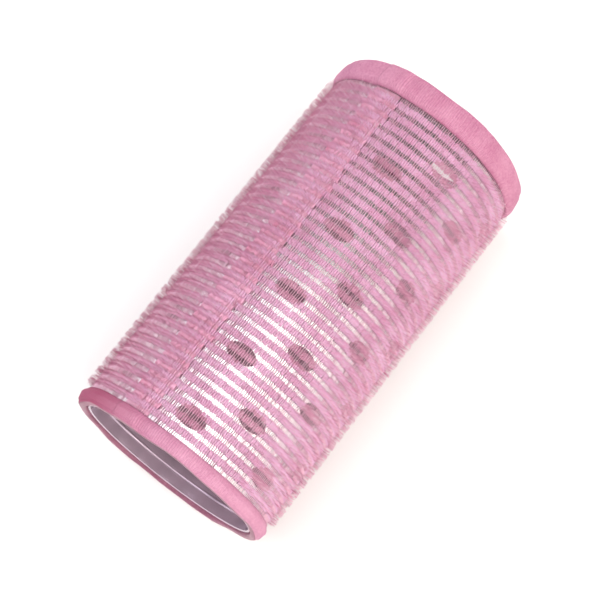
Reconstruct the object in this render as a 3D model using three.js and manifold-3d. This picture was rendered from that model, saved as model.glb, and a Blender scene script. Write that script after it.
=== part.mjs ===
// Self-grip hair roller: a perforated aluminium tube in a knitted nylon hook cover.
//
// Millimetres, +Z up. The roller lies on its side with its axis along X, and the origin
// is on the floor under its middle. Angles around the axis are measured from straight up
// towards -Y. Lengths along the axis are measured from the -X end.

import * as THREE from "three";
import { mergeVertices } from "three/addons/utils/BufferGeometryUtils.js";
import Module from "manifold-3d";

const wasm = await Module();
wasm.setup();

// ---------------------------------------------------------------- driving dimensions

const LENGTH = 63;
const HOOK_RADIUS = 16.5;

const GAP = 0.2;
const CORE_OUTER = 15.0;
const CORE_WALL = 0.4;
const THREAD_THICKNESS = 0.2;
const HEM_OUTER = 15.6;

// See-through gaps in the cover, with a band of hooks between each two of them.
const GAP_COUNT = 35;
const FIRST_GAP = 3.0;
const GAP_PITCH = 1.64;
const GAP_WIDTH = 0.62;
const BAND_SIDES = 26;

// Oval holes in the tube, in columns along the axis that are staggered by turns.
const HOLE_COLUMNS = 14;
const HOLES_PER_COLUMN = 5;
const HOLE_PITCH = 10.8;
const HOLE_START = 6.05;
const HOLE_STAGGER = 4.64;
const HOLE_AROUND = 4.6;
const HOLE_ALONG = 2.7;
const HOLE_POINTS = 12;
const HOLE_FIRST_ANGLE = 3;

// The cover's outer end laps over its inner end along this strip, on the +Y side.
const LAP_CUT_EDGE = -31;
const LAP_INNER_EDGE = -16;
const LAP_RISE = 0.35;

const THREAD_COUNT = 30;
const THREAD_WIDTH = 0.9;
const TUBE_SIDES = 56;
const CLOTH_SIDES = 52;

const RING_SETBACK = 0.9;
const RING_LENGTH = 3.2;
const RING_WALL = 0.5;
const RING_SIDES = 40;
const FOLD_DEPTH = 4.6;
const FOLD_THICKNESS = 0.3;
const RIM_WEB = 0.35;

// ------------------------------------------------------------------- worked-out sizes

const CORE_INNER = CORE_OUTER - CORE_WALL;
const THREAD_INNER = CORE_OUTER + GAP;
const THREAD_OUTER = THREAD_INNER + THREAD_THICKNESS;
const BAND_INNER = THREAD_OUTER + GAP;
const BAND_WIDTH = GAP_PITCH - GAP_WIDTH;
const BAND_COUNT = GAP_COUNT - 1;
const FOLD_OUTER = CORE_INNER - GAP;
const FOLD_INNER = FOLD_OUTER - FOLD_THICKNESS;
const RING_OUTER = FOLD_INNER - GAP;
const RING_INNER = RING_OUTER - RING_WALL;
const CORE_INSET = RIM_WEB + GAP;
const NEAR_HEM_WIDTH = FIRST_GAP - GAP_WIDTH / 2;
const LAST_GAP = FIRST_GAP + (GAP_COUNT - 1) * GAP_PITCH;
const FAR_HEM_WIDTH = LENGTH - LAST_GAP - GAP_WIDTH / 2;

// Each band is a ring with flat sides, and rests on the one that faces down.
const HALF_SIDE_ANGLE = 180 / BAND_SIDES;
const AXIS_HEIGHT = HOOK_RADIUS * Math.cos(THREE.MathUtils.degToRad(HALF_SIDE_ANGLE));

// -------------------------------------------------------------------------- materials

const pinkHooks = new THREE.MeshStandardMaterial({ color: 0xf0a2c8, roughness: 0.75, metalness: 0 });
const pinkGround = new THREE.MeshStandardMaterial({ color: 0xe993bd, roughness: 0.7, metalness: 0 });
const aluminium = new THREE.MeshStandardMaterial({ color: 0xd9dade, roughness: 0.25, metalness: 1 });
const polishedRing = new THREE.MeshStandardMaterial({ color: 0xa99cae, roughness: 0.18, metalness: 1 });

// ---------------------------------------------------------------------------- helpers

const roller = new THREE.Group();
const onAxis = new THREE.Group();
onAxis.position.set(-LENGTH / 2, 0, AXIS_HEIGHT);
roller.add(onAxis);

const sectionToAxis = new THREE.Matrix4().makeBasis(
  new THREE.Vector3(0, 1, 0),
  new THREE.Vector3(0, 0, 1),
  new THREE.Vector3(1, 0, 0),
);

function addPiece(name, geometry, material, along = 0) {
  const mesh = new THREE.Mesh(geometry, material);
  mesh.name = name;
  mesh.position.x = along;
  onAxis.add(mesh);
}

function toSolid(geometry) {
  const bare = geometry.clone();
  bare.deleteAttribute("normal");
  bare.deleteAttribute("uv");
  const merged = mergeVertices(bare, 1e-4);
  const mesh = new wasm.Mesh({
    numProp: 3,
    vertProperties: new Float32Array(merged.attributes.position.array),
    triVerts: new Uint32Array(merged.index.array),
  });
  return new wasm.Manifold(mesh);
}

function toGeometry(solid) {
  const mesh = solid.getMesh();
  const geometry = new THREE.BufferGeometry();
  geometry.setAttribute("position", new THREE.BufferAttribute(mesh.vertProperties, 3));
  geometry.setIndex(new THREE.BufferAttribute(mesh.triVerts, 1));
  geometry.computeVertexNormals();
  return geometry;
}

// A point of a cross-section, as seen along the axis: u is along Y and v is up.
function sectionPoint(angle, radius) {
  const a = THREE.MathUtils.degToRad(angle);
  return new THREE.Vector2(-radius * Math.sin(a), radius * Math.cos(a));
}

// Turns a closed profile of (along, radius) points around the axis. The profile runs
// away from the -X end on its inside and back on its outside.
function turned(profile, sides) {
  const points = profile.map(([along, radius]) => new THREE.Vector2(radius, along)).reverse();
  points.push(points[0].clone());
  return new THREE.LatheGeometry(points, sides).rotateZ(-Math.PI / 2);
}

// Runs a cross-section along the axis for the given width.
function alongAxis(shape, width) {
  const geometry = new THREE.ExtrudeGeometry(shape, { depth: width, bevelEnabled: false });
  return geometry.applyMatrix4(sectionToAxis);
}

// A stretch of tube wall between two angles.
function wallSector(fromAngle, toAngle, inner, outer, steps) {
  const angles = Array.from(
    { length: steps + 1 },
    (_, i) => fromAngle + ((toAngle - fromAngle) * i) / steps,
  );
  const outside = angles.map((angle) => sectionPoint(angle, outer));
  const inside = angles.map((angle) => sectionPoint(angle, inner)).reverse();
  return new THREE.Shape([...outside, ...inside]);
}

// ----------------------------------------------------------------- the perforated tube

function holeCutter(angle, along) {
  const oval = new THREE.Shape();
  oval.absellipse(0, 0, HOLE_ALONG / 2, HOLE_AROUND / 2, 0, 2 * Math.PI);
  const outline = new THREE.Shape(oval.getSpacedPoints(HOLE_POINTS).slice(0, HOLE_POINTS));
  const depth = CORE_WALL * 6;
  const cutter = new THREE.ExtrudeGeometry(outline, { depth, bevelEnabled: false });
  cutter.translate(0, 0, CORE_OUTER - depth / 2);
  cutter.rotateX(THREE.MathUtils.degToRad(angle));
  cutter.translate(along, 0, 0);
  return toSolid(cutter);
}

function coreTube() {
  const wall = [
    [CORE_INSET, CORE_INNER],
    [LENGTH - CORE_INSET, CORE_INNER],
    [LENGTH - CORE_INSET, CORE_OUTER],
    [CORE_INSET, CORE_OUTER],
  ];
  const cutters = [];
  for (let column = 0; column < HOLE_COLUMNS; column += 1) {
    const angle = HOLE_FIRST_ANGLE + (360 * column) / HOLE_COLUMNS;
    const start = HOLE_START + (column % 2) * HOLE_STAGGER;
    for (let row = 0; row < HOLES_PER_COLUMN; row += 1) {
      cutters.push(holeCutter(angle, start + row * HOLE_PITCH));
    }
  }
  return toGeometry(toSolid(turned(wall, TUBE_SIDES)).subtract(wasm.Manifold.union(cutters)));
}

// ------------------------------------------------- ground cloth: two hems and threads

// The hem covers the tube's end, turns over the rim and runs a little way back inside.
function hem(width, fold) {
  return [
    [0, FOLD_INNER],
    [fold, FOLD_INNER],
    [fold, FOLD_OUTER],
    [RIM_WEB, FOLD_OUTER],
    [RIM_WEB, THREAD_INNER],
    [width, THREAD_INNER],
    [width, HEM_OUTER],
    [0, HEM_OUTER],
  ];
}

function farSide(profile) {
  return profile.map(([along, radius]) => [LENGTH - along, radius]).reverse();
}

// Over the lap the hem is two layers thick, so its outside steps up.
function hemLapStep(width, along) {
  const sector = wallSector(LAP_CUT_EDGE, LAP_INNER_EDGE, HEM_OUTER - GAP, HEM_OUTER + LAP_RISE, 3);
  return alongAxis(sector, width).translate(along, 0, 0);
}

function thread(angle) {
  const from = NEAR_HEM_WIDTH - GAP;
  const to = LENGTH - FAR_HEM_WIDTH + GAP;
  const geometry = new THREE.BoxGeometry(to - from, THREAD_WIDTH, THREAD_THICKNESS);
  geometry.translate((from + to) / 2, 0, (THREAD_INNER + THREAD_OUTER) / 2);
  geometry.rotateX(THREE.MathUtils.degToRad(angle));
  return toSolid(geometry);
}

function groundCloth() {
  const parts = [
    toSolid(turned(hem(NEAR_HEM_WIDTH, FOLD_DEPTH), CLOTH_SIDES)),
    toSolid(turned(farSide(hem(FAR_HEM_WIDTH, FOLD_DEPTH)), CLOTH_SIDES)),
    toSolid(hemLapStep(NEAR_HEM_WIDTH, 0)),
    toSolid(hemLapStep(FAR_HEM_WIDTH, LENGTH - FAR_HEM_WIDTH)),
  ];
  const clearOfLap = THREAD_WIDTH * 4;
  for (let i = 0; i < THREAD_COUNT; i += 1) {
    const angle = (360 * i) / THREAD_COUNT - 180;
    const overLap = angle > LAP_CUT_EDGE - clearOfLap && angle < LAP_INNER_EDGE + clearOfLap;
    if (!overLap) {
      parts.push(thread(angle));
    }
  }
  return toGeometry(wasm.Manifold.union(parts));
}

// The end of the cloth that lies underneath in the lap, between the two hems.
function coverInnerEnd() {
  const width = LENGTH - NEAR_HEM_WIDTH - FAR_HEM_WIDTH - 2 * GAP;
  const sector = wallSector(LAP_CUT_EDGE, LAP_INNER_EDGE, THREAD_INNER, THREAD_OUTER + LAP_RISE, 4);
  return alongAxis(sector, width);
}

// -------------------------------------------------------------- hook bands round it all

// One loop of a band's cross-section, stepped up over the lap.
function bandLoop(radius) {
  const corners = Array.from({ length: BAND_SIDES }, (_, i) => {
    const angle = HALF_SIDE_ANGLE + 2 * HALF_SIDE_ANGLE * i - 180;
    const onLap = angle > LAP_CUT_EDGE && angle < LAP_INNER_EDGE;
    return { angle, radius: onLap ? radius + LAP_RISE : radius };
  });
  corners.push({ angle: LAP_CUT_EDGE - 1.5, radius });
  corners.push({ angle: LAP_CUT_EDGE - 1, radius: radius + LAP_RISE });
  corners.push({ angle: LAP_INNER_EDGE + 1, radius: radius + LAP_RISE });
  corners.push({ angle: LAP_INNER_EDGE + 3, radius });
  corners.sort((a, b) => a.angle - b.angle);
  return corners.map((corner) => sectionPoint(corner.angle, corner.radius));
}

function hookBand() {
  const ring = new THREE.Shape(bandLoop(HOOK_RADIUS));
  ring.holes.push(new THREE.Path(bandLoop(BAND_INNER)));
  return alongAxis(ring, BAND_WIDTH);
}

// --------------------------------------------------- rings pressed into the two mouths

// A plain band with a rounded lip, which pins the folded hem against the tube.
function mouthRing() {
  return [
    [0.2, RING_OUTER],
    [0, RING_OUTER - 0.15],
    [0.05, RING_INNER + 0.05],
    [0.35, RING_INNER - 0.12],
    [0.8, RING_INNER],
    [RING_LENGTH, RING_INNER],
    [RING_LENGTH, RING_OUTER],
  ].map(([along, radius]) => [along + RING_SETBACK, radius]);
}

// --------------------------------------------------------------------------- assembly

addPiece("core_tube", coreTube(), aluminium);
addPiece("ground_cloth", groundCloth(), pinkGround);
addPiece("cover_inner_end", coverInnerEnd(), pinkGround, NEAR_HEM_WIDTH + GAP);
addPiece("end_ring_near", turned(mouthRing(), RING_SIDES), polishedRing);
addPiece("end_ring_far", turned(farSide(mouthRing()), RING_SIDES), polishedRing);

const bandGeometry = hookBand();
for (let i = 0; i < BAND_COUNT; i += 1) {
  const name = `hook_band_${String(i + 1).padStart(2, "0")}`;
  addPiece(name, bandGeometry, pinkHooks, FIRST_GAP + GAP_WIDTH / 2 + i * GAP_PITCH);
}

export default roller;
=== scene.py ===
"""Self-grip hair roller: a perforated aluminium tube in a pink knitted hook cover, lying on its side.

Lengths in the helpers are millimetres. "along" is measured along the roller from its -X end, "angle" in
degrees around the axis from straight up towards -Y, and "radius" from the axis. place() turns them into
the frame's metres.
"""

import math

import bpy
import numpy as np
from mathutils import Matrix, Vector
from mathutils.geometry import delaunay_2d_cdt


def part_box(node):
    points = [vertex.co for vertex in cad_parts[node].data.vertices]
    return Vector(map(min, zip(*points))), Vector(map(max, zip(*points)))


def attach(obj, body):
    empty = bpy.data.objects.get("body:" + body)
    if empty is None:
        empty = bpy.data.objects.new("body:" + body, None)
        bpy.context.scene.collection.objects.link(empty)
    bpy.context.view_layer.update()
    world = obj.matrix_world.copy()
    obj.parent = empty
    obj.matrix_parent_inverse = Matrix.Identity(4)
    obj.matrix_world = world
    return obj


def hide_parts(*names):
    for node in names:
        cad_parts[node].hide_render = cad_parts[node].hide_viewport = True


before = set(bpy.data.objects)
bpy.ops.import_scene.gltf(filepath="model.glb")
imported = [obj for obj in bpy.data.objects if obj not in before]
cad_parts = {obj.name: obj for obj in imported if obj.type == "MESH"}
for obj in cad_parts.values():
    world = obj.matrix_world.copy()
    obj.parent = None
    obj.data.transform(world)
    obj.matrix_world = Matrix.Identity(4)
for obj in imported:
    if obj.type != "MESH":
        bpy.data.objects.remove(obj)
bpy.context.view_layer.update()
rng = np.random.default_rng(20)

# ---------------------------------------------------------------- sizes, from the frame

MM = 0.001


def node_box(name):
    """A CAD node's box in millimetres, as (lowest corner, highest corner)."""
    low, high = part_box(name)
    return np.array(low) / MM, np.array(high) / MM


BANDS = sorted(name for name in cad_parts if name.startswith("hook_band_"))
CLOTH_LOW, CLOTH_HIGH = node_box("ground_cloth")
CORE_LOW, CORE_HIGH = node_box("core_tube")
RING_LOW, RING_HIGH = node_box("end_ring_near")
FIRST_LOW, FIRST_HIGH = node_box(BANDS[0])
LAST_LOW, LAST_HIGH = node_box(BANDS[-1])

LENGTH = CLOTH_HIGH[0] - CLOTH_LOW[0]
AXIS_HEIGHT = (CORE_LOW[2] + CORE_HIGH[2]) / 2
HOOK_RADIUS = (FIRST_HIGH[1] - FIRST_LOW[1]) / 2
CORE_RADIUS = (CORE_HIGH[1] - CORE_LOW[1]) / 2
RING_START = RING_LOW[0] - CLOTH_LOW[0]
RING_LENGTH = RING_HIGH[0] - RING_LOW[0]
BAND_WIDTH = FIRST_HIGH[0] - FIRST_LOW[0]
BAND_PITCH = (LAST_LOW[0] - FIRST_LOW[0]) / (len(BANDS) - 1)
GAP_WIDTH = BAND_PITCH - BAND_WIDTH
NEAR_HEM = FIRST_LOW[0] - CLOTH_LOW[0] - GAP_WIDTH
FAR_HEM = CLOTH_HIGH[0] - LAST_HIGH[0] - GAP_WIDTH

# The tube's wall, its punched holes and the cloth's lap, in the CAD model's own sizes.
CORE_WALL = 0.4
CORE_INSET = 0.5
HOLE_COLUMNS = 14
HOLES_PER_COLUMN = 5
HOLE_PITCH = 10.8
HOLE_START = 6.05
HOLE_STAGGER = 4.64
HOLE_AROUND = 4.6
HOLE_ALONG = 2.7
HOLE_FIRST_ANGLE = 3.0
SEAM_COLUMN = 7.5
LAP_CUT_EDGE = -31.0
LAP_INNER_EDGE = -16.0
LAP_RISE = 0.4

# The knit. GROUND_RADIUS is where the yarn lies on the tube, and CROWN is how far a loop stands up from it.
STITCHES = 290
STITCH_ANGLE = 360.0 / STITCHES
GROUND_RADIUS = CORE_RADIUS + 0.08
CROWN = 0.34
RIM_RADIUS = CORE_RADIUS + 0.45
FOLD_RADIUS = CORE_RADIUS - 0.75
FOLD_DEPTH = 4.6

# Degrees over which the outer layer climbs onto the lap, and how far pressed yarn stays above the floor.
LAP_RAMP = 5.0
FLOOR_CLEARANCE = 0.02

# Threads and hooks are so thin that three sides are enough.
FILAMENT_SIDES = 3

# ------------------------------------------------------------------------ mesh helpers


def place(along, angle, radius):
    """Points in metres from roller coordinates. Nothing reaches below the floor, which presses it flat."""
    a = np.radians(angle)
    x = np.asarray(along) - LENGTH / 2
    y = -np.asarray(radius) * np.sin(a)
    z = np.maximum(AXIS_HEIGHT + np.asarray(radius) * np.cos(a), FLOOR_CLEARANCE)
    return np.stack(np.broadcast_arrays(x, y, z), axis=-1) * MM


def lap_rise(angle):
    """How far the outer layer stands up where it lies over the cover's inner end."""
    angle = np.asarray(angle, float)
    ramp = np.clip((LAP_INNER_EDGE + LAP_RAMP / 2 - angle) / LAP_RAMP, 0, 1)
    ramp = ramp * ramp * (3 - 2 * ramp)
    return LAP_RISE * np.where(angle > LAP_CUT_EDGE, ramp, 0.0)


def wrapped(angle):
    """The same angle between -180 and 180."""
    return (np.asarray(angle, float) + 180.0) % 360.0 - 180.0


def new_object(name, points, faces, material):
    """A smooth mesh object from an (n, 3) array and an (m, 3) or (m, 4) array, or a list of such arrays."""
    face_sets = faces if isinstance(faces, list) else [faces]
    loops = np.concatenate([f.ravel() for f in face_sets]).astype(np.int32)
    sizes = np.concatenate([np.full(len(f), f.shape[1]) for f in face_sets]).astype(np.int32)
    starts = np.concatenate([[0], np.cumsum(sizes)[:-1]]).astype(np.int32)
    mesh = bpy.data.meshes.new(name)
    mesh.vertices.add(len(points))
    mesh.vertices.foreach_set("co", np.asarray(points, np.float32).ravel())
    mesh.loops.add(len(loops))
    mesh.loops.foreach_set("vertex_index", loops)
    mesh.polygons.add(len(sizes))
    mesh.polygons.foreach_set("loop_start", starts)
    mesh.polygons.foreach_set("use_smooth", np.full(len(sizes), True))
    mesh.update(calc_edges=True)
    mesh.validate()
    mesh.materials.append(material)
    obj = bpy.data.objects.new(name, mesh)
    bpy.context.scene.collection.objects.link(obj)
    return obj


def grid_faces(rows, columns, close_rows=False, close_columns=False):
    """Quads over a rows x columns grid of points, joined round either way if asked."""
    i = np.arange(rows if close_rows else rows - 1)
    j = np.arange(columns if close_columns else columns - 1)
    i, j = np.meshgrid(i, j, indexing="ij")
    i2 = (i + 1) % rows
    j2 = (j + 1) % columns
    quads = [i * columns + j, i * columns + j2, i2 * columns + j2, i2 * columns + j]
    return np.stack(quads, axis=-1).reshape(-1, 4)


def repeat_faces(faces, copies, points_each):
    """The same faces for each of many copies whose points follow one another."""
    steps = (np.arange(copies) * points_each)[:, None, None]
    return (faces[None] + steps).reshape(-1, faces.shape[1])


def piece(obj, node):
    """Puts a finished piece under the frame's root body and hides the CAD node it stands for."""
    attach(obj, "root")
    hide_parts(node)
    return obj


# --------------------------------------------------------------------------- materials


class Shader:
    """A material with one Principled shader and short calls for the nodes that feed it."""

    def __init__(self, name, **plain):
        self.material = bpy.data.materials.new(name)
        self.material.use_nodes = True
        self.tree = self.material.node_tree
        self.surface = self.tree.nodes["Principled BSDF"]
        for socket, value in plain.items():
            self.surface.inputs[socket.replace("_", " ")].default_value = value

    def node(self, kind, links=(), **settings):
        """A new node, with sources linked to its named inputs and its properties or inputs set."""
        made = self.tree.nodes.new(kind)
        for key, value in settings.items():
            if hasattr(made, key):
                setattr(made, key, value)
            else:
                made.inputs[key.replace("_", " ")].default_value = value
        for socket, source in dict(links).items():
            self.tree.links.new(source, made.inputs[socket])
        return made

    def place(self, scale=(1, 1, 1)):
        """Object coordinates, stretched by scale."""
        where = self.node("ShaderNodeTexCoord").outputs["Object"]
        mapped = self.node("ShaderNodeMapping", {"Vector": where})
        mapped.inputs["Scale"].default_value = scale
        return mapped.outputs["Vector"]

    def noise(self, size_mm, stretch=(1, 1, 1), detail=3.0):
        """Noise whose lumps are about this size."""
        vector = self.place(stretch)
        made = self.node("ShaderNodeTexNoise", {"Vector": vector})
        made.inputs["Scale"].default_value = 1.0 / (size_mm * MM)
        made.inputs["Detail"].default_value = detail
        return made.outputs["Fac"]

    def ramp(self, value, stops):
        """Colours at positions from 0 to 1."""
        made = self.node("ShaderNodeValToRGB", {"Fac": value})
        elements = made.color_ramp.elements
        while len(elements) < len(stops):
            elements.new(0.5)
        for element, (position, colour) in zip(elements, stops):
            element.position = position
            element.color = (*colour, 1.0)
        return made.outputs["Color"]

    def range(self, value, low, high):
        """Noise, which mostly lies between 0.3 and 0.7, spread over low to high."""
        made = self.node("ShaderNodeMapRange", {"Value": value})
        made.inputs["From Min"].default_value = 0.3
        made.inputs["From Max"].default_value = 0.7
        made.inputs["To Min"].default_value = low
        made.inputs["To Max"].default_value = high
        return made.outputs["Result"]

    def half(self, value):
        """Half of the value."""
        made = self.node("ShaderNodeMath", operation="MULTIPLY")
        self.tree.links.new(value, made.inputs[0])
        made.inputs[1].default_value = 0.5
        return made.outputs["Value"]

    def feed(self, socket, source):
        """Links a node's output to one of the Principled shader's sockets."""
        self.tree.links.new(source, self.surface.inputs[socket])

    def bump(self, height, depth_mm):
        """Relief of about this depth."""
        made = self.node("ShaderNodeBump", {"Height": height})
        made.inputs["Distance"].default_value = depth_mm * MM
        self.feed("Normal", made.outputs["Normal"])


def rolled_aluminium():
    """Bright sheet with faint rolling marks along the roller."""
    shader = Shader("rolled_aluminium", Metallic=1.0)
    marks = shader.noise(0.25, stretch=(0.06, 1, 1), detail=4.0)
    clouds = shader.noise(6.0)
    shader.feed("Base Color", shader.ramp(clouds, [(0.3, (0.58, 0.58, 0.6)), (0.7, (0.68, 0.68, 0.69))]))
    shader.feed("Roughness", shader.range(marks, 0.08, 0.17))
    shader.bump(shader.noise(7.0, detail=1.0), 0.012)
    return shader.material


def shaded_dull_aluminium():
    """The sheet's mill-finished inner side, painted dark and pinkish: painted shade for the inside of the
    tube.
    """
    shader = Shader("shaded_dull_aluminium", Metallic=0.5, Roughness=0.55)
    marks = shader.noise(0.4, stretch=(0.1, 1, 1), detail=4.0)
    shader.feed("Base Color", shader.ramp(marks, [(0.3, (0.34, 0.21, 0.26)), (0.7, (0.44, 0.29, 0.35))]))
    return shader.material


def polished_ring():
    """Glossy lavender-grey anodised metal with fine turning marks."""
    shader = Shader("polished_ring", Metallic=0.55)
    turned = shader.noise(0.2, stretch=(1, 0.05, 0.05), detail=2.0)
    clouds = shader.noise(5.0)
    shader.feed("Base Color", shader.ramp(clouds, [(0.3, (0.45, 0.35, 0.43)), (0.7, (0.57, 0.45, 0.55))]))
    shader.feed("Roughness", shader.range(turned, 0.14, 0.26))
    shader.bump(turned, 0.003)
    return shader.material


YARN_PATCH = 5.0


def nylon(name, dark, light, size_mm, roughness, see_through, bump_mm=0.0, painted_shade=None):
    """Nylon yarn: its colour wanders between two shades, and part of the light passes through it.

    size_mm is the size of the finer of its two sets of colour patches, and YARN_PATCH that of the coarser.
    The last argument, when given, is (start, end, colour): between these millimetres of Y the colour turns
    to that darker one, painted shade towards the +Y side, where less light falls.
    """
    shader = Shader(name, Roughness=roughness)
    shader.surface.inputs["Sheen Weight"].default_value = 0.1
    shader.surface.inputs["Sheen Roughness"].default_value = 0.4
    shader.surface.inputs["Sheen Tint"].default_value = (1.0, 0.8, 0.88, 1.0)
    grain = shader.node("ShaderNodeMath", operation="ADD")
    shader.tree.links.new(shader.noise(size_mm, detail=4.0), grain.inputs[0])
    shader.tree.links.new(shader.noise(YARN_PATCH, detail=2.0), grain.inputs[1])
    colour = shader.ramp(shader.half(grain.outputs["Value"]), [(0.36, dark), (0.64, light)])
    if painted_shade:
        start, end, shade_colour = painted_shade
        split = shader.node("ShaderNodeSeparateXYZ", {"Vector": shader.place()})
        share = shader.node("ShaderNodeMapRange", {"Value": split.outputs["Y"]})
        share.inputs["From Min"].default_value = start * MM
        share.inputs["From Max"].default_value = end * MM
        mix = shader.node("ShaderNodeMixRGB", {"Fac": share.outputs["Result"], "Color1": colour})
        mix.inputs["Color2"].default_value = (*shade_colour, 1.0)
        colour = mix.outputs["Color"]
    shader.feed("Base Color", colour)
    if bump_mm:
        shader.bump(shader.noise(size_mm * 0.5, stretch=(0.3, 1, 1), detail=2.0), bump_mm)
    if see_through:
        passing = shader.node("ShaderNodeBsdfTranslucent", {"Color": colour})
        mix = shader.node("ShaderNodeMixShader", Fac=see_through)
        shader.tree.links.new(shader.surface.outputs["BSDF"], mix.inputs[1])
        shader.tree.links.new(passing.outputs["BSDF"], mix.inputs[2])
        output = shader.tree.nodes["Material Output"]
        shader.tree.links.new(mix.outputs["Shader"], output.inputs["Surface"])
    return shader.material


ALUMINIUM = rolled_aluminium()
SHADED_INNER_ALUMINIUM = shaded_dull_aluminium()
RING_METAL = polished_ring()
HEM_NYLON = nylon("hem_knit", (0.46, 0.15, 0.27), (0.6, 0.27, 0.4), 0.35, 0.45, 0.1, 0.03)
# Painted shade: the near hem turns dark magenta towards +Y, for the dimmer light on that side.
NEAR_HEM_PAINTED_SHADE = (2, 12, (0.36, 0.07, 0.15))
NEAR_HEM_NYLON = nylon(
    "hem_knit_near", (0.52, 0.21, 0.34), (0.63, 0.3, 0.44), 0.35, 0.45, 0.1, 0.03, NEAR_HEM_PAINTED_SHADE
)
# Painted shade: the hem's fold over the rim's front, its lip and the inside of the mouth are painted very
# dark for the shade there.
FOLD_SHADED_NYLON = nylon("fold_knit_painted_shade", (0.2, 0.05, 0.1), (0.32, 0.11, 0.18), 0.35, 0.5, 0.05)
# Painted shade: the bands' loops darken towards +Y, for the dimmer light on that side.
BAND_PAINTED_SHADE = (5, 16, (0.68, 0.26, 0.4))
BAND_NYLON = nylon("band_knit", (0.86, 0.48, 0.7), (0.99, 0.71, 0.92), 0.25, 0.4, 0.4, 0.02, BAND_PAINTED_SHADE)
# Painted shade: loops over the tube's holes are painted darker for the dark hollow showing under them.
OVER_HOLE_SHADED_NYLON = nylon(
    "band_knit_over_hole_painted_shade", (0.62, 0.29, 0.43), (0.8, 0.46, 0.61), 0.25, 0.4, 0.3, 0.02
)
LAP_NYLON = nylon("lap_knit", (0.78, 0.34, 0.5), (0.95, 0.56, 0.76), 0.9, 0.45, 0.25, 0.02)
# Painted shade: the hooks darken towards +Y, for the dimmer light on that side.
HOOK_PAINTED_SHADE = (6, 16, (0.62, 0.2, 0.32))
HOOK_NYLON = nylon(
    "hook_filament", (0.88, 0.42, 0.6), (0.99, 0.64, 0.8), 0.3, 0.3, 0.35, painted_shade=HOOK_PAINTED_SHADE
)
DEEP_NYLON = nylon("deep_filament", (0.55, 0.18, 0.34), (0.7, 0.3, 0.46), 0.3, 0.3, 0.3)
# Painted glints: a share of the hooks is painted nearly white for the specks of light they catch, and
# darkened towards +Y as painted shade.
PALE_PAINTED_SHADE = (10, 16, (0.74, 0.36, 0.48))
PALE_GLINT_NYLON = nylon(
    "pale_filament_painted_glint", (0.97, 0.74, 0.85), (0.99, 0.88, 0.94), 0.3, 0.25, 0.4, painted_shade=PALE_PAINTED_SHADE
)
THREAD_NYLON = nylon("cross_thread", (0.8, 0.45, 0.6), (0.92, 0.6, 0.74), 0.3, 0.35, 0.25)
INLAY_NYLON = nylon("inlay_filament", (0.9, 0.66, 0.78), (0.98, 0.82, 0.9), 0.8, 0.25, 0.4)

# ---------------------------------------------------------------------- the metal core

SEAM_ANGLE = HOLE_FIRST_ANGLE + 360.0 * SEAM_COLUMN / HOLE_COLUMNS
SHEET_LINES = HOLE_COLUMNS * 12

# Each hole's edge is an oval of this many points, with a second oval a tenth larger.
OVAL_POINTS = 28
OVAL_RINGS = (1.0, 1.1)
OVAL_HALVES = np.array([HOLE_ALONG / 2, HOLE_AROUND / 2])


def hole_centres():
    """(along, distance around from the seam) of every hole, on the flat sheet."""
    per_degree = math.radians(1) * CORE_RADIUS
    centres = []
    for column in range(HOLE_COLUMNS):
        turn = (HOLE_FIRST_ANGLE + 360.0 * column / HOLE_COLUMNS - SEAM_ANGLE) % 360.0
        start = HOLE_START + (column % 2) * HOLE_STAGGER
        for row in range(HOLES_PER_COLUMN):
            centres.append((start + row * HOLE_PITCH, turn * per_degree))
    return np.array(centres)


def hole_distance(spots):
    """Squared distance of flat-sheet spots from the nearest hole's centre, where 1 is that hole's edge."""
    away = (spots[:, None] - hole_centres()[None]) / OVAL_HALVES
    return (away**2).sum(axis=2).min(axis=1)


def over_hole(along, angle):
    """Whether each spot lies over a hole."""
    across = ((np.asarray(angle) - SEAM_ANGLE) % 360.0) * math.radians(1) * CORE_RADIUS
    return hole_distance(np.stack([np.asarray(along), across], axis=-1)) < 1.0


def flat_sheet():
    """The punched sheet before it is rolled up: its spots and its triangles.

    Lines along it keep the triangles narrow enough to bend. A second oval round each hole keeps them even.
    """
    around = 2 * math.pi * CORE_RADIUS
    points, edges = [], []
    for k in range(SHEET_LINES + 1):
        across = around * k / SHEET_LINES
        points += [(CORE_INSET, across), (LENGTH - CORE_INSET, across)]
        edges.append((len(points) - 2, len(points) - 1))
    turn = np.linspace(0, 2 * math.pi, OVAL_POINTS, endpoint=False)
    oval = [(HOLE_ALONG / 2 * math.cos(t), HOLE_AROUND / 2 * math.sin(t)) for t in turn]
    for grow in OVAL_RINGS:
        for along, across in hole_centres():
            first = len(points)
            points += [(along + grow * u, across + grow * v) for u, v in oval]
            edges += [(first + i, first + (i + 1) % OVAL_POINTS) for i in range(OVAL_POINTS)]
    flat = delaunay_2d_cdt([Vector(p) for p in points], edges, [], 0, 1e-5)
    spots = np.array([tuple(v) for v in flat[0]])
    triangles = np.array([f for f in flat[2]])
    triangles = triangles[hole_distance(spots[triangles].mean(axis=1)) > 0.995]
    used, triangles = np.unique(triangles, return_inverse=True)
    return spots[used], triangles.reshape(-1, 3)


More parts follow.
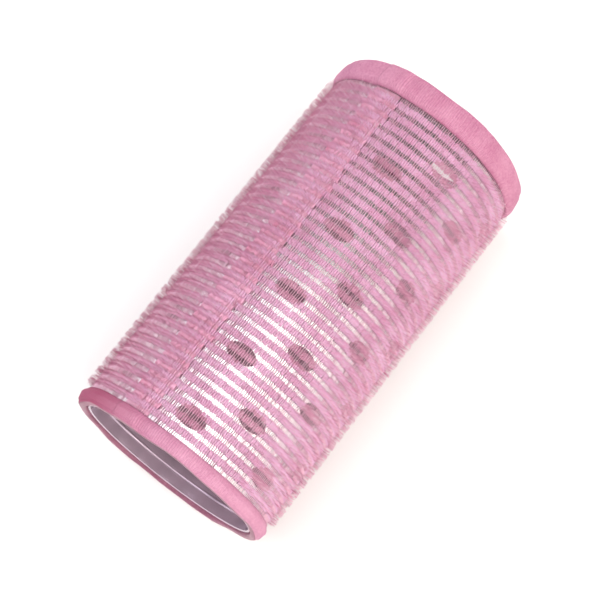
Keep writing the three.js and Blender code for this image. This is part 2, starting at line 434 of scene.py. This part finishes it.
def core_sheet():
    """The punched sheet rolled up, bright outside and mill-finished inside and in its cut edges, which are
    painted dark as shade.
    """
    spots, triangles = flat_sheet()
    angle = SEAM_ANGLE + np.degrees(spots[:, 1] / CORE_RADIUS)
    outer = place(spots[:, 0], angle, CORE_RADIUS)
    inner = place(spots[:, 0], angle, CORE_RADIUS - CORE_WALL)
    count = len(spots)
    sides = np.concatenate([triangles[:, [0, 1]], triangles[:, [1, 2]], triangles[:, [2, 0]]])
    _, index, uses = np.unique(np.sort(sides, axis=1), axis=0, return_index=True, return_counts=True)
    rim = sides[index[uses == 1]]
    walls = np.stack([rim[:, 0], rim[:, 0] + count, rim[:, 1] + count, rim[:, 1]], axis=1)
    faces = [triangles, triangles[:, ::-1] + count, walls]
    obj = new_object("core_sheet", np.concatenate([outer, inner]), faces, ALUMINIUM)
    obj.data.materials.append(SHADED_INNER_ALUMINIUM)
    inside = np.zeros(len(obj.data.polygons), np.int32)
    inside[len(triangles) :] = 1
    obj.data.polygons.foreach_set("material_index", inside)
    mark_sharp(obj, 60.0)
    return piece(obj, "core_tube")


def mark_sharp(obj, degrees):
    """Smooth shading that breaks at edges bent by more than this."""
    obj.data.set_sharp_from_angle(angle=math.radians(degrees))


# ---------------------------------------------------------------- rings in both mouths


def lathe(name, profile, sides, material):
    """Turns a closed profile of (along, radius) round the axis."""
    angle = np.arange(sides)[:, None] * 360.0 / sides
    along, radius = np.array(profile).T
    points = place(along[None] + 0 * angle, angle + 0 * along[None], radius[None])
    faces = grid_faces(sides, len(profile), True, True)
    return new_object(name, points.reshape(-1, 3), faces, material)


def arc(centre, radius, start, end, steps):
    """Points of a circular arc in a profile, by angle in degrees."""
    turns = np.radians(np.linspace(start, end, steps))
    return [(centre[0] + radius * math.cos(t), centre[1] + radius * math.sin(t)) for t in turns]


def flipped(profile):
    """The same profile at the far end."""
    return [(LENGTH - along, radius) for along, radius in reversed(profile)]


RING_GAP = 0.02
RING_WALL = 0.5
RING_LIP = 0.35
RING_SIDES = 180
BEAD_PLACE = 2.1
BEAD_HALF = 0.25
BEAD_HEIGHT = 0.16


def mouth_ring_profile():
    """A thin ring with a bevelled lip, a shallow groove behind it and one rounded bead inside."""
    outer = FOLD_RADIUS - RING_GAP
    inner = outer - RING_WALL
    start = RING_START - RING_LIP
    end = RING_START + RING_LENGTH
    lip = [(start + 0.3, outer), (start + 0.02, outer - 0.2)]
    lip += [(start + 0.02, outer - 0.32), (start + 0.15, inner)]
    groove = [(start + 1.0, inner + 0.04), (start + 1.5, inner + 0.1)]
    turns = np.linspace(0, math.pi, 9)
    centre, foot = start + BEAD_PLACE, inner + 0.12
    bead = [(centre - BEAD_HALF * math.cos(t), foot - BEAD_HEIGHT * math.sin(t)) for t in turns]
    tail = [(end - 0.3, inner + 0.14), (end, inner + 0.3), (end, outer)]
    return lip + groove + bead + tail


def mouth_rings():
    """The same ring in both mouths."""
    profile = mouth_ring_profile()
    near = lathe("mouth_ring_near", profile, RING_SIDES, RING_METAL)
    far = lathe("mouth_ring_far", flipped(profile), RING_SIDES, RING_METAL)
    for obj, node in ((near, "end_ring_near"), (far, "end_ring_far")):
        mark_sharp(obj, 30.0)
        piece(obj, node)


# -------------------------------------------------------------------- hems of the cloth


HEM_SINK = 0.5
SHOULDER = ((0.35, 0.42), (0.7, 0.14), (1.05, 0.03))
CROWN_POINTS = 6
RIM_ROUND = 0.42
RIM_POINTS = 6
FOLD_THICKNESS = 0.3
HEM_UNDERSIDE = CORE_RADIUS + 0.05
# The first profile point from which the hem takes the fold's painted shade, halfway round the rim.
FOLD_SHADE_FROM = 1 + len(SHOULDER) + CROWN_POINTS + RIM_POINTS // 2
RIB_POINTS = 4
RIB_HEIGHT = 0.09


def hem_profile(width):
    """Ribbed cloth from the last see-through gap, over the rim and into the mouth, as a closed loop.

    HEM_SINK is how far the hem's top lies under the hooks' tips. SHOULDER is where the hem slopes down to
    the gap, as (distance in from the gap, drop from the top).
    """
    top = HOOK_RADIUS - HEM_SINK
    outside = [(width, CORE_RADIUS + 0.4)]
    outside += [(width - inward, top - drop) for inward, drop in SHOULDER]
    for share in np.linspace(1.3 / width, 0.74, CROWN_POINTS):
        fall = (top - RIM_RADIUS) * (0.25 * share + 0.75 * share**3)
        outside.append((width * (1 - share), top - fall))
    rim = arc((RIM_ROUND, RIM_RADIUS - RIM_ROUND), RIM_ROUND, 70, 180, RIM_POINTS)
    lip = arc((RIM_ROUND, FOLD_RADIUS + RIM_ROUND), RIM_ROUND, 180, 270, RIM_POINTS)
    fold_back = FOLD_RADIUS + FOLD_THICKNESS
    inside = [(FOLD_DEPTH, FOLD_RADIUS), (FOLD_DEPTH, fold_back)]
    back = [(CORE_INSET - 0.1, fold_back), (CORE_INSET - 0.1, HEM_UNDERSIDE), (width, HEM_UNDERSIDE)]
    return outside + rim + lip + inside + back


def swing(turns, waves):
    """Sum of (height, waves in a turn, phase)."""
    return sum(height * np.sin(count * turns + phase) for height, count, phase in waves)


def hem(name, width, far):
    """One hem, with a rib for each stitch, a slight waviness and the step where the cloth laps."""
    sides = STITCHES * RIB_POINTS
    angle = wrapped(np.arange(sides) * 360.0 / sides)
    profile = np.array(hem_profile(width))
    along, radius = profile[:, 0], profile[:, 1]
    on_outside = np.clip((radius - CORE_RADIUS - 0.1) / 0.3, 0, 1)
    turns = np.radians(angle)
    rib = RIB_HEIGHT * np.cos(turns * STITCHES)
    phase = 1.3 if far else 0.4
    wave = swing(turns, [(0.06, 3, phase), (0.05, 7, 2 * phase), (0.04, 13, 0)])
    lift = (rib + wave + lap_rise(angle))[:, None] * on_outside[None]
    at_rim = np.clip(1 - along / 0.5, 0, 1)
    nudge = swing(turns, [(0.1, 6, phase), (0.06, 11, 0)])
    if not far:
        nudge += 0.2 * (1 + np.cos(turns - math.radians(15)))
    nudge = nudge[:, None] * at_rim[None]
    where = np.maximum(along[None] + nudge, 0.0)
    if far:
        where = LENGTH - where
    points = place(where, angle[:, None] + 0 * along, radius[None] + lift)
    faces = grid_faces(sides, len(profile), True, True)
    if far:
        faces = faces[:, ::-1]
    obj = new_object(name, points.reshape(-1, 3), faces, HEM_NYLON if far else NEAR_HEM_NYLON)
    # From halfway round the rim into the mouth, the faces take the fold's painted shade.
    obj.data.materials.append(FOLD_SHADED_NYLON)
    shaded_fold = np.arange(len(faces)) % len(profile) >= FOLD_SHADE_FROM
    obj.data.polygons.foreach_set("material_index", shaded_fold.astype(np.int32))
    return piece(obj, "ground_cloth")


# --------------------------------------------------------------- ground net and threads

GAP_CENTRES = NEAR_HEM + GAP_WIDTH / 2 + BAND_PITCH * np.arange(len(BANDS) + 1)
BAND_CENTRES = NEAR_HEM + GAP_WIDTH + BAND_WIDTH / 2 + BAND_PITCH * np.arange(len(BANDS))

# Half widths of the threads and filaments, and how far a thread runs in under each hem.
THREAD_HALF = 0.066
THREAD_HEIGHT = 0.12
THREAD_TUCK = 0.3
INLAYS = 40
INLAY_STATIONS = 36
INLAY_HALF = 0.026


def tube_ring(sides, turn=0.0):
    """Unit offsets of a thin tube's corners."""
    a = np.arange(sides) * 2 * math.pi / sides + turn
    return np.cos(a), np.sin(a)


def cross_threads():
    """A fine thread for each stitch, from hem to hem, that shows in every see-through gap."""
    sides = FILAMENT_SIDES
    stations = np.sort(np.concatenate([GAP_CENTRES - GAP_WIDTH / 2, GAP_CENTRES + GAP_WIDTH / 2]))
    stations[0] -= THREAD_TUCK
    stations[-1] += THREAD_TUCK
    base_angle = wrapped(np.arange(STITCHES) * STITCH_ANGLE)
    count = len(stations)
    shake = rng.normal(0, 0.1, (STITCHES, count)) * STITCH_ANGLE
    angle = base_angle[:, None] + shake
    half = THREAD_HALF * (1 + rng.normal(0, 0.15, (STITCHES, 1)))
    radius = GROUND_RADIUS + THREAD_HEIGHT + lap_rise(base_angle)[:, None]
    radius = radius + rng.normal(0, 0.02, (STITCHES, count))
    across, up = tube_ring(sides, math.pi / 2)
    ring_angle = angle[..., None] + np.degrees(half[..., None] * across / CORE_RADIUS)
    ring_radius = radius[..., None] + half[..., None] * up
    points = place(stations[None, :, None] + 0 * ring_angle, ring_angle, ring_radius)
    faces = repeat_faces(grid_faces(count, sides, False, True), STITCHES, count * sides)
    caps = [[0, 1, 2], [(count - 1) * sides + 2, (count - 1) * sides + 1, (count - 1) * sides]]
    ends = repeat_faces(np.array(caps), STITCHES, count * sides)
    return points.reshape(-1, 3), [faces[:, ::-1], ends]


def ground_net():
    """The stretched ground knit, which shows as a ladder of threads in the gaps between the bands."""
    points, faces = cross_threads()
    obj = new_object("ground_net", points, faces, THREAD_NYLON)
    return piece(obj, "ground_cloth")


def inlay_filaments():
    """Clear stiff filaments laid in lengthwise over the bands, a few stitches apart."""
    sides = FILAMENT_SIDES
    chosen = np.sort(rng.choice(STITCHES, INLAYS, replace=False))
    base_angle = wrapped(chosen * STITCH_ANGLE)
    stations = np.linspace(NEAR_HEM - 0.2, LENGTH - FAR_HEM + 0.2, INLAY_STATIONS)
    angle = base_angle[:, None] + rng.normal(0, 0.12, (len(chosen), len(stations)))
    radius = GROUND_RADIUS + CROWN + 0.05 + lap_rise(base_angle)[:, None] + 0 * angle
    across, up = tube_ring(sides, math.pi / 2)
    ring_angle = angle[..., None] + np.degrees(INLAY_HALF * across / CORE_RADIUS)
    ring_radius = radius[..., None] + INLAY_HALF * up
    points = place(stations[None, :, None] + 0 * ring_angle, ring_angle, ring_radius)
    each = len(stations) * sides
    faces = repeat_faces(grid_faces(len(stations), sides, False, True), len(chosen), each)
    caps = repeat_faces(np.array([[0, 1, 2], [each - 1, each - 2, each - 3]]), len(chosen), each)
    obj = new_object("inlay_filaments", points.reshape(-1, 3), [faces[:, ::-1], caps], INLAY_NYLON)
    return piece(obj, "ground_cloth")


# --------------------------------------------------------------------------- hook bands

# A stitch is a plump yarn loop lying along the roller: (along as a share of the band, half width, top).
STITCH_SHAPE = np.array(
    [(-0.5, 0.11, 0.12), (-0.38, 0.16, 0.34), (0.0, 0.165, 0.36), (0.38, 0.16, 0.34), (0.5, 0.11, 0.12)]
)

# A hook's path: how far it has leaned over, and how high it stands, from its root.
HOOK_PATH = np.array([(0.0, -0.1), (0.04, 0.5), (0.15, 0.9), (0.35, 0.82)])
HOOK_HALF = (0.027, 0.025, 0.021, 0.014)

# Hooks lean round the roller, HOOK_LEAN degrees off that way in each row, and a share of them lean back.
HOOK_LEAN = 15.0
HOOK_LEAN_SPREAD = 25
HOOKS_TURNED_BACK = 0.4

# Each row stands this share of the band's width from its middle.
HOOK_ROW = 0.27
HOOK_FOOT = GROUND_RADIUS + CROWN * 0.7
HOOK_ROOM = HOOK_RADIUS - HOOK_FOOT
# The pale shade of hooks is painted glints.
HOOK_MATERIALS = (HOOK_NYLON, PALE_GLINT_NYLON, DEEP_NYLON)
HOOK_SHARES = (0.4, 0.25, 0.35)

# The cover's inner end has shorter hooks and less even loops.
UNDER_HOOK_SHARE = 0.75
UNDER_UNEVENNESS = 2.5

# From this angle round to the lap's inner edge, the loops get no painted shade over the holes.
HOLES_HIDDEN_FROM = -120.0


def stitch_loops(centre, root, lift, unevenness=1.0):
    """A loop of yarn at each root angle round one band, side by side, so that they all but close it."""
    across = np.array([-1.0, 0.0, 1.0, 0.0])
    up = np.array([0.45, 1.0, 0.45, 0.0])
    count = len(root)
    turn = unevenness * rng.normal(0, 0.05, count)
    swell = 1 + unevenness * rng.normal(0, 0.07, count)
    shift = unevenness * rng.normal(0, 0.035, count)
    share, half, top = STITCH_SHAPE.T
    u = BAND_WIDTH * share[None] * (1 + rng.normal(0, 0.05, (count, 1)))
    side = u * turn[:, None] + unevenness * rng.normal(0, 0.015, (count, 1))
    around = side[..., None] + (half[None] * swell[:, None])[..., None] * across
    height = (top[None] * swell[:, None])[..., None] * up
    along = centre + shift[:, None, None] + u[..., None] + 0 * around
    angle = root[:, None, None] + np.degrees(around / GROUND_RADIUS)
    radius = GROUND_RADIUS + height + (lift + 0 * root)[:, None, None]
    points = place(along, angle, radius).reshape(-1, 3)
    each = len(share) * 4
    faces = repeat_faces(grid_faces(len(share), 4, False, True), count, each)
    ends = np.array([[3, 2, 1, 0], [each - 4, each - 3, each - 2, each - 1]])
    return points, np.concatenate([faces, repeat_faces(ends, count, each)])


def band_hooks(centre, around_roots, share=1.0):
    """Small curled hooks in two rows along one band, leaning both ways. share scales their height."""
    roots = np.tile(around_roots, 2)
    count = len(roots)
    row = np.repeat([-1.0, 1.0], len(around_roots))
    root_angle = wrapped(roots + row * STITCH_ANGLE / 4 + rng.normal(0, 0.22, count) * STITCH_ANGLE)
    root_along = centre + row * BAND_WIDTH * HOOK_ROW + rng.normal(0, 0.06, count)
    back = 180.0 * (rng.random(count) < HOOKS_TURNED_BACK)
    lean = np.radians(row * HOOK_LEAN + back + rng.normal(0, HOOK_LEAN_SPREAD, count))
    tall = share * np.minimum(HOOK_ROOM * (1.0 + rng.normal(0, 0.1, count)), HOOK_ROOM / 0.94)
    reach = 1 + rng.normal(0, 0.22, count)
    path_u = HOOK_PATH[None, :, 0] * reach[:, None]
    path_h = HOOK_PATH[None, :, 1] * tall[:, None]
    step_u = np.gradient(path_u, axis=1)
    step_h = np.gradient(path_h, axis=1)
    size = np.hypot(step_u, step_h)
    normal_u, normal_h = -step_h / size, step_u / size
    sides = FILAMENT_SIDES
    c, s = tube_ring(sides)
    half = np.array(HOOK_HALF)[None, :, None]
    u = path_u[..., None] + half * c * normal_u[..., None]
    h = path_h[..., None] + half * c * normal_h[..., None]
    w = half * s + 0 * u
    sin_lean, cos_lean = np.sin(lean)[:, None, None], np.cos(lean)[:, None, None]
    along = root_along[:, None, None] + u * sin_lean + w * cos_lean
    around = u * cos_lean - w * sin_lean
    raised = lap_rise(root_angle)[:, None, None]
    radius = np.minimum(HOOK_FOOT + raised + h, HOOK_RADIUS + raised * 0.5)
    angle = root_angle[:, None, None] + np.degrees(around / HOOK_RADIUS)
    points = place(along, angle, radius).reshape(-1, 3)
    each = len(HOOK_PATH) * sides
    faces = repeat_faces(grid_faces(len(HOOK_PATH), sides, False, True), count, each)
    caps = repeat_faces(np.array([[2, 1, 0], [each - 3, each - 2, each - 1]]), count, each)
    return points, [faces, caps]


BACKING_STEP = 0.25
BACKING_COLUMNS = 26
BACKING_TOP = 0.2


def lap_backing():
    """The inner end's ground cloth, pressed flat and dense: a thin curved strip with a rough top."""
    rows = int((LENGTH - NEAR_HEM - FAR_HEM) / BACKING_STEP)
    columns = BACKING_COLUMNS
    along = np.linspace(NEAR_HEM + 0.05, LENGTH - FAR_HEM - 0.05, rows)[:, None]
    angle = np.linspace(LAP_CUT_EDGE + 0.3, LAP_INNER_EDGE + 0.5, columns)[None]
    top = GROUND_RADIUS + BACKING_TOP + rng.normal(0, 0.05, (rows, columns))
    upper = place(along + 0 * angle, angle + 0 * along, top)
    lower = place(along + 0 * angle, angle + 0 * along, GROUND_RADIUS + 0 * top)
    count = rows * columns
    faces = grid_faces(rows, columns)
    edge = list(range(columns))
    edge += [r * columns + columns - 1 for r in range(1, rows)]
    edge += [(rows - 1) * columns + c for c in range(columns - 2, -1, -1)]
    edge += [r * columns for r in range(rows - 2, 0, -1)]
    edge = np.array(edge)
    after = np.roll(edge, -1)
    walls = np.stack([edge, edge + count, after + count, after], axis=1)
    points = np.concatenate([upper.reshape(-1, 3), lower.reshape(-1, 3)])
    return points, [faces, faces[:, ::-1] + count, walls]


def lap_under_layer():
    """The cover's inner end, whose uneven bands and short hooks close the outer layer's gaps."""
    points, faces = lap_backing()
    root = np.arange(LAP_CUT_EDGE + 0.8, LAP_INNER_EDGE + 3.5, STITCH_ANGLE * 0.9)
    for centre in GAP_CENTRES[1:-1]:
        ragged = root[root < LAP_INNER_EDGE + rng.uniform(-1.5, 3.5)]
        fade = np.clip((LAP_INNER_EDGE - ragged) / 3.0, 0.2, 1)
        loops, loop_faces = stitch_loops(centre, ragged, 0.26 * fade, UNDER_UNEVENNESS)
        faces.append(loop_faces + len(points))
        points = np.concatenate([points, loops])
        fuzz, fuzz_faces = band_hooks(centre, ragged, UNDER_HOOK_SHARE)
        faces += [f + len(points) for f in fuzz_faces]
        points = np.concatenate([points, fuzz])
    obj = new_object("lap_under_layer", points, faces, LAP_NYLON)
    return piece(obj, "cover_inner_end")


def loops_shaded_over_holes(points, faces):
    """Whether each face of a band's loops lies over a hole and takes the painted shade of a dark oval
    there. On the lap's side none does.
    """
    middle = points[faces].mean(axis=1) / MM
    angle = np.degrees(np.arctan2(-middle[:, 1], middle[:, 2] - AXIS_HEIGHT))
    shows = (angle > LAP_INNER_EDGE) | (angle < HOLES_HIDDEN_FROM)
    return over_hole(middle[:, 0] + LENGTH / 2, angle) & shows


def hook_band(number, centre):
    """One band: its yarn loops, and its hooks in three shades.

    The material slots are the loops, the hooks' shades in order (the pale one painted glints), and last the
    loops over holes, painted darker as shade.
    """
    root = wrapped(np.arange(STITCHES) * STITCH_ANGLE)
    base_points, base_faces = stitch_loops(centre, root, lap_rise(root))
    hook_points, hook_faces = band_hooks(centre, root)
    faces = [base_faces] + [f + len(base_points) for f in hook_faces]
    obj = new_object(f"hooks_{number:02d}", np.concatenate([base_points, hook_points]), faces, BAND_NYLON)
    for material in (*HOOK_MATERIALS, OVER_HOLE_SHADED_NYLON):
        obj.data.materials.append(material)
    shades = len(HOOK_MATERIALS)
    kind = rng.choice(np.arange(shades) + 1, 2 * STITCHES, p=HOOK_SHARES)
    base_slots = np.where(loops_shaded_over_holes(base_points, base_faces), shades + 1, 0)
    hook_slots = [np.repeat(kind, len(f) // len(kind)) for f in hook_faces]
    slots = np.concatenate([base_slots, *hook_slots]).astype(np.int32)
    obj.data.polygons.foreach_set("material_index", slots)
    return piece(obj, BANDS[number - 1])


# ------------------------------------------------------------------- floor, light, view


# The floor in metres, then how bright each part of the studio is, or how much it takes off the rest.
FLOOR_HALF = 3.0
REST_LIGHT = 1.05
DARK_DROP = 0.9
SIDE_LIGHT = 1.3
LOW_LIGHT = 1.4
SHADE_DROP = 0.65
BANK_LIGHT = 2.6
COOL_WHITE = (0.98, 0.97, 1.0, 1.0)
WARM_WHITE = (1.0, 0.96, 0.88, 1.0)


def studio_floor():
    """A plain pale floor, far larger than the roller."""
    shader = Shader("studio_floor", Roughness=0.6)
    clouds = shader.noise(400.0)
    shader.feed("Base Color", shader.ramp(clouds, [(0.3, (0.83, 0.83, 0.83)), (0.7, (0.86, 0.86, 0.86))]))
    half = FLOOR_HALF
    corners = np.array([(-half, -half, 0), (half, -half, 0), (half, half, 0), (-half, half, 0)])
    new_object("studio_floor", corners, np.array([[0, 1, 2, 3]]), shader.material)


def studio_world():
    """A white studio whose brightness and tint depend only on direction.

    bank is the bright panel overhead, and dark the strip beyond its +X edge, where the bare metal stops
    glaring. shade dims what is high on +Y and -X. side is the paler wall on -Y, and low the one low down
    on +Y.
    """
    world = bpy.data.worlds.new("studio")
    world.use_nodes = True
    tree = world.node_tree
    split = tree.nodes.new("ShaderNodeSeparateXYZ")
    tree.links.new(tree.nodes.new("ShaderNodeTexCoord").outputs["Generated"], split.inputs[0])

    def step(axis, start, end):
        """0 at start, 1 at end, smoothly, along one axis of the direction."""
        made = tree.nodes.new("ShaderNodeMapRange")
        made.interpolation_type = "SMOOTHSTEP"
        made.inputs["From Min"].default_value = start
        made.inputs["From Max"].default_value = end
        tree.links.new(split.outputs[axis], made.inputs["Value"])
        return made.outputs["Result"]

    def combine(operation, first, second):
        """A Math node on two values, each a number or another node's output."""
        made = tree.nodes.new("ShaderNodeMath")
        made.operation = operation
        for socket, value in zip(made.inputs, (first, second)):
            if isinstance(value, float):
                socket.default_value = value
            else:
                tree.links.new(value, socket)
        return made.outputs["Value"]

    def both(first, second):
        """Where both are 1, or one scaled by the other."""
        return combine("MULTIPLY", first, second)

    bank = both(step("X", 0.27, 0.19), step("X", -0.5, -0.35))
    bank = both(bank, both(step("Y", -0.97, -0.85), step("Y", 0.85, 0.66)))
    bank = both(bank, step("Z", 0.1, 0.3))
    dark = both(both(step("X", 0.19, 0.27), step("X", 0.6, 0.4)), step("Z", 0.3, 0.5))
    rest = combine("SUBTRACT", REST_LIGHT, both(dark, DARK_DROP))
    shade = both(combine("MAXIMUM", step("Y", 0.5, 0.8), step("X", -0.4, -0.7)), step("Z", 0.12, 0.32))
    rest = combine("SUBTRACT", rest, both(shade, SHADE_DROP))
    side = both(both(step("Y", -0.6, -0.9), SIDE_LIGHT), both(step("Z", -0.1, 0.1), step("X", 0.32, 0.22)))
    low = both(both(step("Y", 0.75, 0.9), LOW_LIGHT), both(step("Z", -0.1, 0.0), step("Z", 0.45, 0.3)))
    total = combine("ADD", combine("ADD", rest, combine("ADD", side, low)), both(bank, BANK_LIGHT))
    background = tree.nodes["Background"]
    tint = tree.nodes.new("ShaderNodeMixRGB")
    tree.links.new(step("Y", 0.8, -0.8), tint.inputs["Fac"])
    tint.inputs["Color1"].default_value = COOL_WHITE
    tint.inputs["Color2"].default_value = WARM_WHITE
    tree.links.new(tint.outputs["Color"], background.inputs["Color"])
    tree.links.new(total, background.inputs["Strength"])
    bpy.context.scene.world = world


# The view's angles in radians, its distance and aim in metres, and its lens in millimetres.
VIEW_AZIMUTH = math.radians(-53.05)
VIEW_ELEVATION = math.radians(73.57)
VIEW_DISTANCE = 0.268
VIEW_LENS = 113.7
AIM_RIGHT = -0.00047
AIM_UP = -0.00036


def camera():
    """Looks down steeply along the roller from its -X end."""
    level = math.cos(VIEW_ELEVATION)
    back_x = math.sin(VIEW_AZIMUTH) * level
    back_y = -math.cos(VIEW_AZIMUTH) * level
    back = Vector((back_x, back_y, math.sin(VIEW_ELEVATION)))
    right = Vector((math.cos(VIEW_AZIMUTH), math.sin(VIEW_AZIMUTH), 0))
    up = back.cross(right)
    aim = Vector((0, 0, AXIS_HEIGHT * MM)) + right * AIM_RIGHT + up * AIM_UP
    data = bpy.data.cameras.new("camera")
    data.sensor_width = 36.0
    data.lens = VIEW_LENS
    data.clip_start = 0.01
    view = bpy.data.objects.new("camera", data)
    view.location = aim + back * VIEW_DISTANCE
    view.rotation_euler = back.to_track_quat("Z", "Y").to_euler()
    bpy.context.scene.collection.objects.link(view)
    bpy.context.scene.camera = view


# ------------------------------------------------------------------------------- build

camera()
core_sheet()
mouth_rings()
near_hem = hem("hem_near", NEAR_HEM, False)
far_hem = hem("hem_far", FAR_HEM, True)
net = ground_net()
inlay_filaments()
lap = lap_under_layer()
bands = [hook_band(i + 1, centre) for i, centre in enumerate(BAND_CENTRES)]

studio_floor()
studio_world()
bpy.context.scene.view_settings.view_transform = "Standard"
